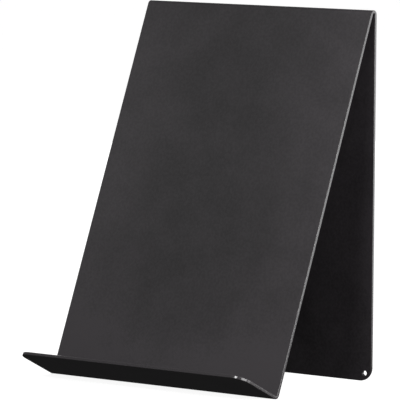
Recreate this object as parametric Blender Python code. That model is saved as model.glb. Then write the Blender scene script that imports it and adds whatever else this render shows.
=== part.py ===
"""Photo album stand: one steel sheet, cut flat, folded twice and powder coated.

Seen from the side the sheet runs up from a raised front ledge, round a tight fold that rests on
the floor, up a display panel that leans back, over an acute fold at the top, and straight down a
vertical back panel to the floor. The frame is +Z up and -Y towards the viewer, with the origin on
the floor under the middle of the stand.
"""

import math

import bmesh
import bpy
from mathutils import Vector

# Driving dimensions in metres, angles in degrees.
HEIGHT = 0.264  # floor to the crest of the top fold
WIDTH = 0.200  # the sheet, side to side
STEEL = 0.0020
COAT = 0.00008  # powder coat on each face
PANEL_TILT = 22.5  # display panel, back from upright
LEDGE_RISE = 25.3  # ledge, up from the floor
LEDGE_LENGTH = 0.042  # flat of the ledge, from its fold to its free edge
FLOOR_FOLD_INSIDE = 0.0015  # inside radius of the fold that rests on the floor
TOP_FOLD_INSIDE = 0.0013  # inside radius of the fold at the top
CORNER_RADIUS = 0.010  # the four free corners of the cut sheet
HOLE_DIAMETER = 0.0036  # hang holes for the coating line, in the back panel
HOLE_INSET = 0.0057  # hole centre, in from the side edge and up from the floor
EDGE_ROUND = 0.00035  # cut edges, softened by the coat

# How finely round shapes are divided.
FLOOR_FOLD_STEPS = 10
TOP_FOLD_STEPS = 16
CORNER_STEPS = 8
HOLE_SIDES = 28
EDGE_SEGMENTS = 2
SHARP_ANGLE = 60.0

# Colour and finish of the satin black coat.
COAT_COLOUR = (0.030, 0.029, 0.030, 1.0)
COAT_ROUGHNESS = 0.48
COAT_METALLIC = 0.0

# Worked out from the dimensions above.
SHEET = STEEL + 2 * COAT
HALF_WIDTH = WIDTH / 2
AXIS_X = Vector((1.0, 0.0, 0.0))
AXIS_Y = Vector((0.0, 1.0, 0.0))
AXIS_Z = Vector((0.0, 0.0, 1.0))
TILT = math.radians(PANEL_TILT)
RISE = math.radians(LEDGE_RISE)
LEDGE_INSIDE = Vector((0.0, math.sin(RISE), math.cos(RISE)))
LEDGE_OUTWARDS = Vector((0.0, -math.cos(RISE), math.sin(RISE)))


def arc(centre, across, up, radius, start, sweep, steps):
    """Points from angle start through sweep, both included, counted from across towards up."""
    angles = [start + sweep * i / steps for i in range(steps + 1)]
    return [centre + radius * (math.cos(a) * across + math.sin(a) * up) for a in angles]


def fold_centres():
    """Centres of the floor fold and of the top fold, on X 0, with the floor fold's on Y 0."""
    floor_centre = Vector((0.0, 0.0, FLOOR_FOLD_INSIDE + SHEET))
    top_outside = TOP_FOLD_INSIDE + SHEET
    top_z = HEIGHT - top_outside
    # The panel's front face runs FLOOR_FOLD_INSIDE behind one centre and top_outside before the other.
    gap = FLOOR_FOLD_INSIDE + top_outside
    top_y = (gap + math.sin(TILT) * (top_z - floor_centre.z)) / math.cos(TILT)
    return floor_centre, Vector((0.0, top_y, top_z))


def side_profile():
    """Middle line of the sheet in the side view, from the ledge's free edge to the back's foot."""
    floor_centre, top_centre = fold_centres()
    floor_radius = FLOOR_FOLD_INSIDE + SHEET / 2
    top_radius = TOP_FOLD_INSIDE + SHEET / 2
    ledge_start = floor_centre - LEDGE_INSIDE * floor_radius
    ledge_edge = ledge_start + LEDGE_OUTWARDS * LEDGE_LENGTH
    floor_from = -math.pi / 2 - RISE
    floor_fold = arc(
        floor_centre, AXIS_Y, AXIS_Z, floor_radius, floor_from, -TILT - floor_from, FLOOR_FOLD_STEPS
    )
    top_from = math.pi - TILT
    top_fold = arc(top_centre, AXIS_Y, AXIS_Z, top_radius, top_from, -top_from, TOP_FOLD_STEPS)
    back_foot = Vector((0.0, top_centre.y + top_radius, 0.0))
    return [ledge_edge, *floor_fold, *top_fold, back_foot]


def depth_range():
    """Lowest and highest Y of the folded sheet, with the floor fold's centre at Y 0."""
    _, top_centre = fold_centres()
    ledge_reach = LEDGE_LENGTH * math.cos(RISE) + (FLOOR_FOLD_INSIDE + SHEET) * math.sin(RISE)
    lost_to_rounding = EDGE_ROUND * (math.cos(RISE) + math.sin(RISE) - 1)
    return lost_to_rounding - ledge_reach, top_centre.y + TOP_FOLD_INSIDE + SHEET


def rounded_end(tip, root):
    """Outline of a flap's free end from -X to +X, with both corners rounded."""
    outwards = (tip - root).normalized()
    outline = []
    for side, start in ((-1, math.pi), (1, math.pi / 2)):
        centre = tip - outwards * CORNER_RADIUS + AXIS_X * side * (HALF_WIDTH - CORNER_RADIUS)
        outline += arc(centre, AXIS_X, outwards, CORNER_RADIUS, start, -math.pi / 2, CORNER_STEPS)
    return outline


def middle_surface():
    """The folded sheet without its thickness: a strip between each pair of bend lines."""
    profile = side_profile()
    bm = bmesh.new()
    ends_of_a_bend = (-HALF_WIDTH * AXIS_X, HALF_WIDTH * AXIS_X)
    bends = [[bm.verts.new(point + end) for end in ends_of_a_bend] for point in profile[1:-1]]
    for (left, right), (next_left, next_right) in zip(bends, bends[1:]):
        bm.faces.new((left, right, next_right, next_left))
    for tip, root, (left, right) in (
        (profile[0], profile[1], bends[0]),
        (profile[-1], profile[-2], bends[-1]),
    ):
        end = [bm.verts.new(co) for co in rounded_end(tip, root)]
        bm.faces.new((left, *end, right))
    bmesh.ops.recalc_face_normals(bm, faces=bm.faces)
    mesh = bpy.data.meshes.new("folded_sheet")
    bm.to_mesh(mesh)
    bm.free()
    return mesh


def coat_material():
    """Satin black powder coat."""
    material = bpy.data.materials.new("powder_coat")
    material.use_nodes = True
    shader = material.node_tree.nodes["Principled BSDF"]
    shader.inputs["Base Color"].default_value = COAT_COLOUR
    shader.inputs["Roughness"].default_value = COAT_ROUGHNESS
    shader.inputs["Metallic"].default_value = COAT_METALLIC
    material.diffuse_color = COAT_COLOUR
    return material


def add_object(name, mesh):
    """A mesh object in the scene."""
    thing = bpy.data.objects.new(name, mesh)
    bpy.context.scene.collection.objects.link(thing)
    return thing


def hole_cutter(name, x, y):
    """A drill through the back panel, along Y."""
    bm = bmesh.new()
    bmesh.ops.create_cone(
        bm,
        cap_ends=True,
        segments=HOLE_SIDES,
        radius1=HOLE_DIAMETER / 2,
        radius2=HOLE_DIAMETER / 2,
        depth=4 * SHEET,
    )
    mesh = bpy.data.meshes.new(name)
    bm.to_mesh(mesh)
    bm.free()
    cutter = add_object(name, mesh)
    cutter.location = (x, y, HOLE_INSET)
    cutter.rotation_euler = (math.pi / 2, 0.0, 0.0)
    cutter.hide_render = True
    cutter.display_type = "WIRE"
    return cutter


def folded_sheet():
    """The stand: thickness on both sides of the middle surface, two drilled holes, soft edges."""
    front, rear = depth_range()
    sheet = add_object("folded_sheet", middle_surface())
    sheet.location = (0.0, -(front + rear) / 2, 0.0)
    sheet.data.materials.append(coat_material())
    sheet.data.shade_smooth()

    thickness = sheet.modifiers.new("sheet thickness", "SOLIDIFY")
    thickness.thickness = SHEET
    thickness.offset = 0.0
    thickness.use_even_offset = True

    back_y = sheet.location.y + rear - SHEET / 2
    for side, name in ((-1, "hang_hole_left"), (1, "hang_hole_right")):
        cut = sheet.modifiers.new(name, "BOOLEAN")
        cut.operation = "DIFFERENCE"
        cut.solver = "EXACT"
        cut.object = hole_cutter(name, side * (HALF_WIDTH - HOLE_INSET), back_y)

    edges = sheet.modifiers.new("coated edges", "BEVEL")
    edges.width = EDGE_ROUND
    edges.segments = EDGE_SEGMENTS
    edges.limit_method = "ANGLE"
    edges.angle_limit = math.radians(SHARP_ANGLE)
    edges.harden_normals = True
    return sheet


def main():
    for thing in list(bpy.data.objects):
        bpy.data.objects.remove(thing, do_unlink=True)
    folded_sheet()


main()
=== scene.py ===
"""Looks of the photo album stand: the folded sheet with rounded folds, cut edges and a satin
black powder coat, on a pale studio floor."""

import math

import bmesh
import bpy
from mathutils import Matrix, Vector


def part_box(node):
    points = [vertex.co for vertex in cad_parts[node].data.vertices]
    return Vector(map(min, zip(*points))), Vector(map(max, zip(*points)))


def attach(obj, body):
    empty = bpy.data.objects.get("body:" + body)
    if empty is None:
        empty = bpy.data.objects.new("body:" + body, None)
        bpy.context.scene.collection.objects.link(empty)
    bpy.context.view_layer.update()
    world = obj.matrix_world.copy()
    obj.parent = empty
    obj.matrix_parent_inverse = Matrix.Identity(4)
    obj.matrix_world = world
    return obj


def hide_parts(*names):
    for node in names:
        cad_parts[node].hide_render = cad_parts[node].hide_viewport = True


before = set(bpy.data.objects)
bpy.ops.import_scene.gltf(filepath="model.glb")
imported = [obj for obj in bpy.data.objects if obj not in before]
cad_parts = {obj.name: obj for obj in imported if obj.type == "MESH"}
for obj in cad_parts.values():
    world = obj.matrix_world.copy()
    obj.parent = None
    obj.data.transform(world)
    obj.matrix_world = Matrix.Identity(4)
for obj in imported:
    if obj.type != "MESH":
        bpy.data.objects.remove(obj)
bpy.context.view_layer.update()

# The sheet, as the CAD model has it. The overall size and the panels' places come from its box in
# model.glb.
NODE = "folded_sheet"
LOW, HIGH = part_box(NODE)
HEIGHT = HIGH[2] - LOW[2]
HALF_WIDTH = (HIGH[0] - LOW[0]) / 2
REAR_Y = HIGH[1]
SHEET = 0.00216  # 2 mm steel with its coat on both faces
PANEL_TILT = math.radians(22.5)  # display panel, back from upright
LEDGE_RISE = math.radians(25.3)  # ledge, up from the floor
LEDGE_LENGTH = 0.042
FOLD_Y = LOW[1] + LEDGE_LENGTH * math.cos(LEDGE_RISE)  # the fold on the floor, about
FLOOR_FOLD_INSIDE = 0.0015
TOP_FOLD_INSIDE = 0.0013
CORNER_RADIUS = 0.010
HOLE_RADIUS = 0.0018
HOLE_INSET = 0.0057
EDGE_ROUND = 0.00035

# How finely round shapes are divided.
FLOOR_FOLD_STEPS = 28
TOP_FOLD_STEPS = 44
PANEL_STEPS = 24
RING_POINTS = 64
RING_SHARES = (0.0, 0.3, 0.6, 1.0)  # how far out each ring lies, from a hole's rim to its tile
CORNER_STEPS = 24
EDGE_SEGMENTS = 5
SUPPORT = 0.0006  # a narrow strip beside each fold keeps its shading off the flat
RIM = 0.0009  # a narrow strip along the side edges and the ledge's edge, wider than their rounding
TILES_BELOW = 4 * HOLE_INSET  # the back panel's flat strips end this far above its foot
CUT_ANGLE = math.radians(60)  # edges sharper than this are cut edges
FLAT_WEIGHT = 100  # how strongly the large flats decide the shading beside a rounding
EDGE_SLOT = 1  # the material slot of the cut edges' coat, after that of the faces' coat

# The powder coat. Sizes and depths of its patterns are in metres.
COAT_DARK = (0.0090, 0.0079, 0.0089)
COAT_LIGHT = (0.0345, 0.0302, 0.0340)
EDGE_LIGHT = (0.0420, 0.0385, 0.0415)
FACE_ROUGHNESS = 0.46
EDGE_ROUGHNESS = 0.18
GLOSS_SWING = 0.012
CLOUD_SIZE = 0.030
GLOSS_SIZE = 0.030
MOTTLE_SIZE = 0.0018
PEEL_SIZE = 0.0020
PEEL_DEPTH = 0.00003
GRAIN_SIZE = 0.0005
GRAIN_DEPTH = 0.00004
EDGE_GRAIN_DEPTH = GRAIN_DEPTH / 4

# How much each pattern lightens the film, and the painted light that makes it lighter towards the side
# edges and the fold on the floor.
NOISE_LOW = 0.3
NOISE_HIGH = 0.7
CLOUD_TONE = 0.26
MOTTLE_TONE = 0.36
# painted light: the film lighter towards the sheet's side edges
SIDE_PAINTED_LIGHT = 0.36
SIDE_PAINTED_LIGHT_FROM = 0.2 * HALF_WIDTH
# painted light: the film lighter near the fold on the floor
FOLD_PAINTED_LIGHT = 0.70
FOLD_PAINTED_LIGHT_REACH = 0.035

# The floor, the room's light above and below the horizon, and the camera. Angles are in degrees,
# distances in metres, and the lens and its sensor in millimetres.
STAND_MIDDLE = Vector((0.0, 0.0, HEIGHT / 2))
FLOOR_HALF = 20.0
FLOOR_TONE = 0.35
FLOOR_GLOW = 0.92
ROOM_ABOVE = 0.23
ROOM_BELOW = 0.05
HORIZON_BLUR = 0.1
VIEW_AZIMUTH = 37.43
VIEW_ELEVATION = 5.57
VIEW_ROLL = 0.438
VIEW_DISTANCE = 2.965
VIEW_AIM = Vector((-0.00795, 0.01489, 0.12711))
VIEW_FAR = 50.0
LENS = 375.0
SENSOR = 36.0

WHITE = (1.0, 1.0, 1.0, 1.0)

AXIS_X = Vector((1.0, 0.0, 0.0))
AXIS_Y = Vector((0.0, 1.0, 0.0))
AXIS_Z = Vector((0.0, 0.0, 1.0))


def arc(centre, across, up, radius, start, sweep, steps):
    """Points from angle start through sweep, both included, counted from across towards up."""
    angles = [start + sweep * i / steps for i in range(steps + 1)]
    return [centre + radius * (math.cos(a) * across + math.sin(a) * up) for a in angles]


def direction(azimuth, elevation):
    """Away from the stand, for angles in degrees. Azimuth 0 is to its front, and 90 to its right."""
    turn, lift = math.radians(azimuth), math.radians(elevation)
    return Vector((math.sin(turn) * math.cos(lift), -math.cos(turn) * math.cos(lift), math.sin(lift)))


def between(start, end, steps):
    """Points that divide a flat into even strips, with a narrow one at each end, ends left out."""
    along = (end - start).normalized() * SUPPORT
    return [(start + along).lerp(end - along, i / steps) for i in range(steps + 1)]


def side_profile():
    """Middle line of the sheet in the side view: ledge's free edge, both bends, back panel's foot."""
    middle_y = REAR_Y - SHEET / 2
    top_radius = TOP_FOLD_INSIDE + SHEET / 2
    floor_radius = FLOOR_FOLD_INSIDE + SHEET / 2
    top_centre = Vector((0.0, middle_y - top_radius, HEIGHT - TOP_FOLD_INSIDE - SHEET))
    floor_z = FLOOR_FOLD_INSIDE + SHEET
    gap = floor_radius + top_radius
    rise = top_centre.z - floor_z
    floor_y = top_centre.y - (gap + math.sin(PANEL_TILT) * rise) / math.cos(PANEL_TILT)
    floor_centre = Vector((0.0, floor_y, floor_z))
    floor_from = -math.pi / 2 - LEDGE_RISE
    floor_turn = -PANEL_TILT - floor_from
    floor_fold = arc(floor_centre, AXIS_Y, AXIS_Z, floor_radius, floor_from, floor_turn, FLOOR_FOLD_STEPS)
    top_from = math.pi - PANEL_TILT
    top_fold = arc(top_centre, AXIS_Y, AXIS_Z, top_radius, top_from, -top_from, TOP_FOLD_STEPS)
    outwards = Vector((0.0, -math.cos(LEDGE_RISE), math.sin(LEDGE_RISE)))
    ledge_edge = floor_fold[0] + outwards * LEDGE_LENGTH
    back_foot = Vector((0.0, middle_y, 0.0))
    return ledge_edge, floor_fold, top_fold, back_foot


def row_at(bm, point):
    """Four points across the sheet: its side edges, and a narrow strip's width inside them."""
    inside = HALF_WIDTH - RIM
    return [bm.verts.new(point + x * AXIS_X) for x in (-HALF_WIDTH, -inside, inside, HALF_WIDTH)]


def strip(bm, line, next_line):
    """Quads between two lines of as many points."""
    for first, second, third, fourth in zip(line, line[1:], next_line[1:], next_line):
        bm.faces.new((first, second, third, fourth))


def ledge_end(bm, root_row, tip, outwards):
    """The ledge's free end, with its two rounded corners and a narrow strip along its edge."""
    start = row_at(bm, tip - outwards * CORNER_RADIUS)
    strip(bm, root_row, start)
    outline = {-1: [start[0]], 1: [start[3]]}
    inside = {-1: [start[1]], 1: [start[2]]}
    for side in (-1, 1):
        centre = tip - outwards * CORNER_RADIUS + side * (HALF_WIDTH - CORNER_RADIUS) * AXIS_X
        for lines, radius in ((outline, CORNER_RADIUS), (inside, CORNER_RADIUS - RIM)):
            points = arc(centre, side * AXIS_X, outwards, radius, 0.0, math.pi / 2, CORNER_STEPS)
            lines[side] += [bm.verts.new(point) for point in points[1:]]
    strip(bm, [*outline[-1], *reversed(outline[1])], [*inside[-1], *reversed(inside[1])])
    bm.faces.new((*inside[-1], *reversed(inside[1])))


def reach_to_tile_edge(angle):
    """How far the tile round a hole goes from the hole's centre, at an angle from straight out to the
    side edge towards straight up. The tile is square, but for the sheet's rounded corner."""
    along_x, along_z = math.cos(angle), math.sin(angle)
    reach = HOLE_INSET / max(abs(along_x), abs(along_z))
    # The rounded corner's centre, seen from the hole's centre.
    corner_x = HOLE_INSET - CORNER_RADIUS
    corner_z = -corner_x
    if reach * along_x > corner_x and reach * along_z < corner_z:
        nearest = along_x * corner_x + along_z * corner_z
        offset = corner_x * corner_x + corner_z * corner_z - nearest * nearest
        reach = nearest + math.sqrt(CORNER_RADIUS * CORNER_RADIUS - offset)
    return reach


def hole_tile(bm, side, foot):
    """A corner tile of the back panel with its hole: a ring of quads. Returns its outer loop."""
    centre = foot + side * (HALF_WIDTH - HOLE_INSET) * AXIS_X + HOLE_INSET * AXIS_Z
    loops = []
    for share in RING_SHARES:
        loop = []
        for i in range(RING_POINTS):
            angle = 2 * math.pi * i / RING_POINTS
            reach = HOLE_RADIUS + share * (reach_to_tile_edge(angle) - HOLE_RADIUS)
            offset = reach * (side * math.cos(angle) * AXIS_X + math.sin(angle) * AXIS_Z)
            loop.append(bm.verts.new(centre + offset))
        loops.append(loop)
    for inner, outer in zip(loops, loops[1:]):
        for i in range(RING_POINTS):
            j = (i + 1) % RING_POINTS
            bm.faces.new((inner[i], inner[j], outer[j], outer[i]))
    return loops[-1]


def back_end(bm, root_row, foot):
    """The back panel's lower end: a tile round each hole, and the flats between and above them."""
    eighth = RING_POINTS // 8
    top, inner = {}, {}
    for side in (-1, 1):
        loop = hole_tile(bm, side, foot)
        top[side] = loop[eighth : 3 * eighth + 1]
        inner[side] = loop[3 * eighth : 5 * eighth + 1]
    bm.faces.new((*inner[-1], *reversed(inner[1])))
    bm.faces.new((*top[-1], *reversed(top[1]), *reversed(root_row)))


def sheet_mesh():
    """Middle surface of the folded sheet."""
    ledge_edge, floor_fold, top_fold, back_foot = side_profile()
    bm = bmesh.new()
    outwards = (ledge_edge - floor_fold[0]).normalized()
    ledge_root = floor_fold[0] + outwards * SUPPORT
    panel = between(floor_fold[-1], top_fold[0], PANEL_STEPS)
    above_tiles = back_foot + AXIS_Z * TILES_BELOW
    back = between(top_fold[-1], above_tiles, PANEL_STEPS)
    rows = [row_at(bm, p) for p in [ledge_root, *floor_fold, *panel, *top_fold, *back]]
    for row, next_row in zip(rows, rows[1:]):
        strip(bm, row, next_row)
    ledge_end(bm, rows[0], ledge_edge, outwards)
    back_end(bm, rows[-1], back_foot)
    bmesh.ops.recalc_face_normals(bm, faces=bm.faces)
    mesh = bpy.data.meshes.new("stand")
    bm.to_mesh(mesh)
    bm.free()
    mesh.shade_smooth()
    return mesh


def folded_stand():
    """The visible sheet: thickness on both sides of the middle surface and rounded cut edges."""
    stand = bpy.data.objects.new("stand", sheet_mesh())
    bpy.context.scene.collection.objects.link(stand)
    face_coat = powder_coat("powder_coat", COAT_DARK, COAT_LIGHT, FACE_ROUGHNESS, GRAIN_DEPTH)
    edge_coat = powder_coat("powder_coat_edge", COAT_DARK, EDGE_LIGHT, EDGE_ROUGHNESS, EDGE_GRAIN_DEPTH)
    stand.data.materials.append(face_coat)
    stand.data.materials.append(edge_coat)

    thickness = stand.modifiers.new("thickness", "SOLIDIFY")
    thickness.thickness = SHEET
    thickness.offset = 0.0
    thickness.use_even_offset = True
    thickness.material_offset_rim = EDGE_SLOT

    edges = stand.modifiers.new("rounded edges", "BEVEL")
    edges.width = EDGE_ROUND
    edges.segments = EDGE_SEGMENTS
    edges.limit_method = "ANGLE"
    edges.angle_limit = CUT_ANGLE
    edges.material = EDGE_SLOT

    shading = stand.modifiers.new("flats stay flat", "WEIGHTED_NORMAL")
    shading.weight = FLAT_WEIGHT
    shading.keep_sharp = True

    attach(stand, "root")
    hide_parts(NODE)


def add_node(tree, kind, sockets=None, **properties):
    """A new node with its properties and its sockets' values set."""
    node = tree.nodes.new(kind)
    for name, value in properties.items():
        setattr(node, name, value)
    for name, value in (sockets or {}).items():
        node.inputs[name].default_value = value
    return node


def scaled(tree, value, low, high, to_low, to_high):
    """A number taken smoothly from one range to another, and held at its ends."""
    limits = {"From Min": low, "From Max": high, "To Min": to_low, "To Max": to_high}
    node = add_node(tree, "ShaderNodeMapRange", limits, interpolation_type="SMOOTHSTEP")
    tree.links.new(value, node.inputs["Value"])
    return node.outputs["Result"]


def arithmetic(tree, operation, *values):
    """A number worked out from one or two other nodes' numbers."""
    node = add_node(tree, "ShaderNodeMath", operation=operation)
    for socket, value in zip(node.inputs, values):
        tree.links.new(value, socket)
    return node.outputs["Value"]


def noise(tree, place, size, detail):
    """Soft random pattern with blobs about size across."""
    node = add_node(tree, "ShaderNodeTexNoise", {"Scale": 1.0 / size, "Detail": detail})
    tree.links.new(place, node.inputs["Vector"])
    return node.outputs["Fac"]


def bump(tree, height, depth, below=None):
    """Relief of a pattern, on top of the relief below it."""
    node = add_node(tree, "ShaderNodeBump", {"Strength": 1.0, "Distance": depth})
    tree.links.new(height, node.inputs["Height"])
    if below is not None:
        tree.links.new(below, node.inputs["Normal"])
    return node.outputs["Normal"]


def coat_tone_and_painted_light(tree, place):
    """How light the film looks, 0 to 1: cloudy and finely mottled, with painted light that makes it
    lighter towards the sheet's side edges and the fold on the floor."""
    clouds = scaled(tree, noise(tree, place, CLOUD_SIZE, 3.0), NOISE_LOW, NOISE_HIGH, 0.0, CLOUD_TONE)
    mottle = scaled(tree, noise(tree, place, MOTTLE_SIZE, 2.0), NOISE_LOW, NOISE_HIGH, 0.0, MOTTLE_TONE)
    axes = add_node(tree, "ShaderNodeSeparateXYZ")
    tree.links.new(place, axes.inputs["Vector"])
    from_middle = arithmetic(tree, "ABSOLUTE", axes.outputs["X"])
    # painted light: lighter towards the sheet's side edges
    side_painted_light = scaled(tree, from_middle, SIDE_PAINTED_LIGHT_FROM, HALF_WIDTH, 0.0, SIDE_PAINTED_LIGHT)
    # painted light: lighter towards the fold on the floor
    fold_painted_light = scaled(tree, axes.outputs["Y"], FOLD_Y + FOLD_PAINTED_LIGHT_REACH, FOLD_Y, 0.0, FOLD_PAINTED_LIGHT)
    patterns = arithmetic(tree, "ADD", clouds, mottle)
    # both painted lights, on top of the film's own clouds and mottle
    painted_light = arithmetic(tree, "ADD", side_painted_light, fold_painted_light)
    return arithmetic(tree, "ADD", patterns, painted_light)


def powder_coat(name, dark, light, roughness, grain_depth):
    """Satin black powder coat: fine grain on orange peel, in a film of uneven tone and gloss."""
    material = bpy.data.materials.new(name)
    material.use_nodes = True
    tree = material.node_tree
    shader = tree.nodes["Principled BSDF"]
    place = add_node(tree, "ShaderNodeTexCoord").outputs["Object"]

    ramp = add_node(tree, "ShaderNodeValToRGB")
    ramp.color_ramp.elements[0].color = (*dark, 1.0)
    ramp.color_ramp.elements[1].color = (*light, 1.0)
    # the film's tone, with painted light towards the side edges and the fold on the floor
    tree.links.new(coat_tone_and_painted_light(tree, place), ramp.inputs["Fac"])
    tree.links.new(ramp.outputs["Color"], shader.inputs["Base Color"])

    gloss = noise(tree, place, GLOSS_SIZE, 3.0)
    smoothest, roughest = roughness - GLOSS_SWING, roughness + GLOSS_SWING
    uneven = scaled(tree, gloss, NOISE_LOW, NOISE_HIGH, smoothest, roughest)
    tree.links.new(uneven, shader.inputs["Roughness"])
    peel = bump(tree, noise(tree, place, PEEL_SIZE, 1.0), PEEL_DEPTH)
    grain = bump(tree, noise(tree, place, GRAIN_SIZE, 2.0), grain_depth, peel)
    tree.links.new(grain, shader.inputs["Normal"])
    return material


def stage():
    """Pale floor. It glows so that it stays even, and its glow doesn't light the stand."""
    bm = bmesh.new()
    bmesh.ops.create_grid(bm, x_segments=1, y_segments=1, size=FLOOR_HALF)
    mesh = bpy.data.meshes.new("floor")
    bm.to_mesh(mesh)
    bm.free()
    floor = bpy.data.objects.new("floor", mesh)
    bpy.context.scene.collection.objects.link(floor)
    floor.visible_diffuse = False
    floor.visible_glossy = False
    material = bpy.data.materials.new("floor_paint")
    material.use_nodes = True
    shader = material.node_tree.nodes["Principled BSDF"]
    shader.inputs["Base Color"].default_value = (FLOOR_TONE, FLOOR_TONE, FLOOR_TONE, 1.0)
    shader.inputs["Roughness"].default_value = 1.0
    shader.inputs["Specular IOR Level"].default_value = 0.0
    shader.inputs["Emission Color"].default_value = WHITE
    shader.inputs["Emission Strength"].default_value = FLOOR_GLOW
    floor.data.materials.append(material)


def area_light(name, azimuth, elevation, distance, size, radiance):
    """A rectangular soft box that faces the stand, as bright for any size as its radiance says."""
    data = bpy.data.lights.new(name, "AREA")
    data.shape = "RECTANGLE"
    data.size, data.size_y = size
    data.energy = math.pi * size[0] * size[1] * radiance
    towards = direction(azimuth, elevation)
    lamp = bpy.data.objects.new(name, data)
    lamp.location = STAND_MIDDLE + distance * towards
    lamp.rotation_euler = (-towards).to_track_quat("-Z", "Y").to_euler()
    lamp.visible_camera = False
    bpy.context.scene.collection.objects.link(lamp)


def world_light():
    """An even pale room, darker below the horizon. The camera sees it white."""
    world = bpy.data.worlds.new("studio")
    bpy.context.scene.world = world
    world.use_nodes = True
    nodes, links = world.node_tree.nodes, world.node_tree.links
    room = nodes["Background"]
    place = nodes.new("ShaderNodeTexCoord")
    parts = nodes.new("ShaderNodeSeparateXYZ")
    links.new(place.outputs["Generated"], parts.inputs["Vector"])
    level = nodes.new("ShaderNodeMapRange")
    level.inputs["From Min"].default_value = -HORIZON_BLUR
    level.inputs["From Max"].default_value = HORIZON_BLUR
    level.inputs["To Min"].default_value = ROOM_BELOW
    level.inputs["To Max"].default_value = ROOM_ABOVE
    links.new(parts.outputs["Z"], level.inputs["Value"])
    links.new(level.outputs["Result"], room.inputs["Strength"])
    seen = nodes.new("ShaderNodeBackground")
    path = nodes.new("ShaderNodeLightPath")
    mix = nodes.new("ShaderNodeMixShader")
    links.new(path.outputs["Is Camera Ray"], mix.inputs["Fac"])
    links.new(room.outputs["Background"], mix.inputs[1])
    links.new(seen.outputs["Background"], mix.inputs[2])
    links.new(mix.outputs["Shader"], nodes["World Output"].inputs["Surface"])
    seen.inputs["Color"].default_value = WHITE
    room.inputs["Color"].default_value = WHITE


def lights():
    """The room and its soft boxes: azimuth, elevation, distance, width and height, and radiance."""
    world_light()
    area_light("back_right", 133, 7, 2.0, (1.6, 1.2), 3.3)  # the cut edges at the right
    area_light("back_left", 225, 6, 2.0, (1.0, 1.0), 2.0)  # the rear, and between the panels
    area_light("right", 82, 11, 0.9, (0.75, 0.35), 7.8)  # the back panel's inside, the ledge's corner
    area_light("right_near", 80, 40, 0.42, (0.25, 0.25), 3.7)  # both panels at the upper right
    area_light("left", -75, 22, 0.45, (0.25, 0.25), 0.6)  # the display panel's left side
    area_light("above", -20, 52, 2.0, (1.4, 0.8), 1.3)  # the whole display panel
    area_light("front", 10, 34, 2.0, (0.5, 0.22), 30.0)  # the display panel, a glint on the ledge


def camera():
    """The camera, far off with a long lens, and turned slightly about its axis."""
    data = bpy.data.cameras.new("camera")
    data.lens = LENS
    data.sensor_width = SENSOR
    data.clip_end = VIEW_FAR
    eye = bpy.data.objects.new("camera", data)
    away = direction(VIEW_AZIMUTH, VIEW_ELEVATION)
    eye.location = VIEW_AIM + VIEW_DISTANCE * away
    eye.rotation_euler = (-away).to_track_quat("-Z", "Y").to_euler()
    eye.rotation_euler.rotate_axis("Z", math.radians(VIEW_ROLL))
    bpy.context.scene.collection.objects.link(eye)
    bpy.context.scene.camera = eye


folded_stand()
stage()
lights()
camera()
bpy.context.scene.view_settings.view_transform = "Standard"
